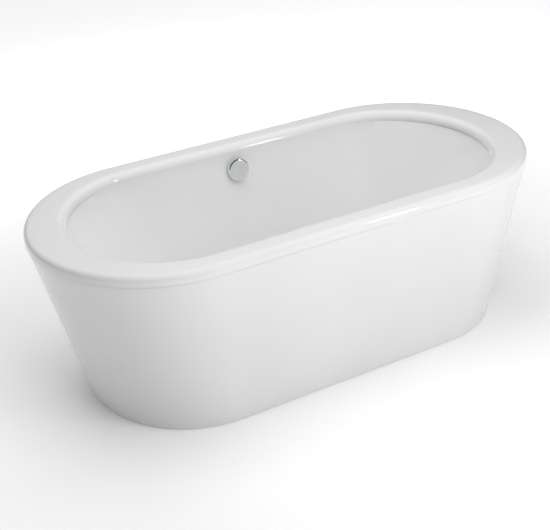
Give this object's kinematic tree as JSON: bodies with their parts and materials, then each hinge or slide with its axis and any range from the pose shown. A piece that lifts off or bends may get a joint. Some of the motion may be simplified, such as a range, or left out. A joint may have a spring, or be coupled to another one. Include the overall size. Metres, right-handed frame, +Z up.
{
  "type": "freestanding bathtub",
  "caption": "Oval double-ended bath with a broad flat rim and one tapered skirt, a rotary control on the long wall that lifts the plug, screw feet and a bottle trap.",
  "frame": {"origin": "middle of the bath on the floor it stands on, under the feet", "axes": "+X along the bath, +Y towards the long wall with the overflow control, +Z up"},
  "size_m": [1.7998, 0.9, 0.61],
  "materials": {
    "white_acrylic": "polished white sanitary acrylic",
    "chrome": "polished chrome",
    "chipboard": "raw chipboard",
    "timber": "planed softwood",
    "painted_steel": "powder-coated grey",
    "zinc_steel": "zinc plated",
    "white_plastic": "moulded polypropylene",
    "grey_plastic": "moulded grey plastic",
    "black_plastic": "moulded black plastic",
    "black_rubber": "moulded rubber",
    "brass": "turned brass"
  },
  "bodies": {
    "tub": {"bath_shell": "white_acrylic", "base_board": "chipboard", "rim_batten_front": "timber", "rim_batten_back": "timber", "apron": "white_acrylic", "apron_fixing_blocks": "grey_plastic", "apron_screws": "zinc_steel", "frame_rail_front": "painted_steel", "frame_rail_back": "painted_steel", "cross_member_left": "painted_steel", "cross_member_right": "painted_steel", "board_screws": "zinc_steel", "frame_bolts": "zinc_steel", "frame_nuts": "zinc_steel", "foot_insert_nuts": "zinc_steel", "foot_lock_nuts": "zinc_steel", "overflow_body": "white_plastic", "overflow_gasket": "black_rubber", "overflow_retainer": "white_plastic", "overflow_collar": "chrome", "overflow_hose": "grey_plastic", "hose_nut_upper": "white_plastic", "hose_nut_lower": "white_plastic", "cable_sheath": "black_plastic", "cable_ferrules": "zinc_steel", "waste_strainer": "chrome", "waste_upper_gasket": "black_rubber", "waste_lower_gasket": "black_rubber", "waste_body": "white_plastic", "lever_pin": "zinc_steel", "trap_seal": "black_rubber", "trap_nut": "white_plastic", "trap_bowl": "white_plastic", "outlet_nut": "white_plastic", "outlet_bend": "white_plastic"},
    "knob": {"overflow_knob": "chrome", "knob_spindle": "brass", "cable_crank": "grey_plastic"},
    "plug": {"plug_cap": "chrome", "plug_stem": "brass", "plug_seal": "black_rubber"},
    "lever": {"plug_lever": "brass"},
    "foot_front_left": {"foot_stem_front_left": "zinc_steel", "foot_pad_front_left": "black_plastic"},
    "foot_front_right": {"foot_stem_front_right": "zinc_steel", "foot_pad_front_right": "black_plastic"},
    "foot_back_left": {"foot_stem_back_left": "zinc_steel", "foot_pad_back_left": "black_plastic"},
    "foot_back_right": {"foot_stem_back_right": "zinc_steel", "foot_pad_back_right": "black_plastic"}
  },
  "joints": [
    {"name": "knob_turn", "type": "hinge", "parent": "tub", "child": "knob", "pos_m": [-0.02, 0.34412, 0.52], "axis": [0, -0.9848, 0.1738], "range_deg": [0, 90]},
    {"name": "plug_lift", "type": "slide", "parent": "tub", "child": "plug", "axis": [0, 0, 1], "range_m": [0, 0.01]},
    {"name": "lever_turn", "type": "hinge", "parent": "tub", "child": "lever", "pos_m": [0.004, 0, 0.148], "axis": [0, 1, 0], "range_deg": [0, 21.6]},
    {"name": "foot_front_left_height", "type": "slide", "parent": "tub", "child": "foot_front_left", "axis": [0, 0, -1], "range_m": [0, 0.02]},
    {"name": "foot_front_right_height", "type": "slide", "parent": "tub", "child": "foot_front_right", "axis": [0, 0, -1], "range_m": [0, 0.02]},
    {"name": "foot_back_left_height", "type": "slide", "parent": "tub", "child": "foot_back_left", "axis": [0, 0, -1], "range_m": [0, 0.02]},
    {"name": "foot_back_right_height", "type": "slide", "parent": "tub", "child": "foot_back_right", "axis": [0, 0, -1], "range_m": [0, 0.02]}
  ],
  "couplings": [
    {"joint": "plug_lift", "follows": "knob_turn", "m_per_rad": 0.006366},
    {"joint": "lever_turn", "follows": "knob_turn", "ratio": 0.23889}
  ]
}
